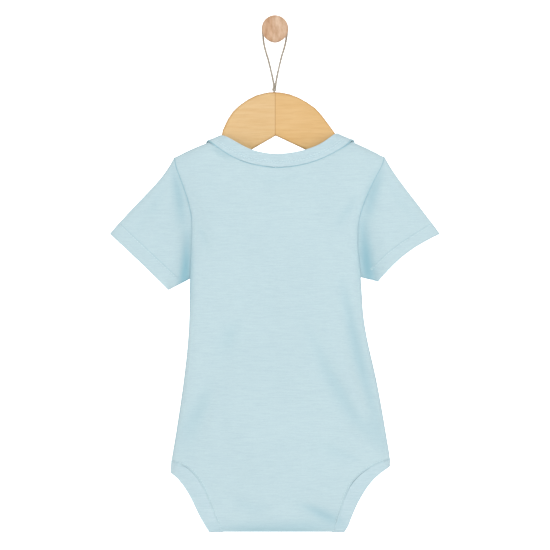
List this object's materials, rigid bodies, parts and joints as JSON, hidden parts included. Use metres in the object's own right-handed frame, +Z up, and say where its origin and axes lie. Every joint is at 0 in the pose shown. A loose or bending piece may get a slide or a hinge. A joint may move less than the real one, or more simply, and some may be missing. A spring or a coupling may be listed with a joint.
{
  "type": "baby bodysuit on a wooden hanger and wall peg",
  "caption": "Short-sleeved baby bodysuit with lapped shoulders and bound leg openings, hung flat on a domed wooden hanger whose twine loop goes over a round wall peg",
  "frame": {"origin": "centre of the peg's flat back face, which lies on the wall plane y = 0", "axes": "+Z up; +Y into the wall, square to the peg's back face; the garment's back panel faces -Y, and +X is the right of a viewer who looks along +Y"},
  "size_m": [0.3307, 0.048, 0.5164],
  "materials": {
    "jersey": "pale blue cotton jersey with a fine slub",
    "rib": "pale blue cotton rib binding",
    "snap": "pale moulded press snap",
    "hanger_wood": "light varnished wood",
    "twine": "thin undyed twine",
    "peg_wood": "plain sanded wood"
  },
  "bodies": {
    "root": {"back_panel": "jersey", "front_panel": "jersey", "sleeve_left": "jersey", "sleeve_right": "jersey", "back_neck_band": "rib", "front_neck_band": "rib", "leg_binding_left": "rib", "leg_binding_right": "rib", "snap_left": "snap", "snap_middle": "snap", "snap_right": "snap", "hanger": "hanger_wood", "twine": "twine", "wall_peg": "peg_wood"}
  },
  "joints": []
}
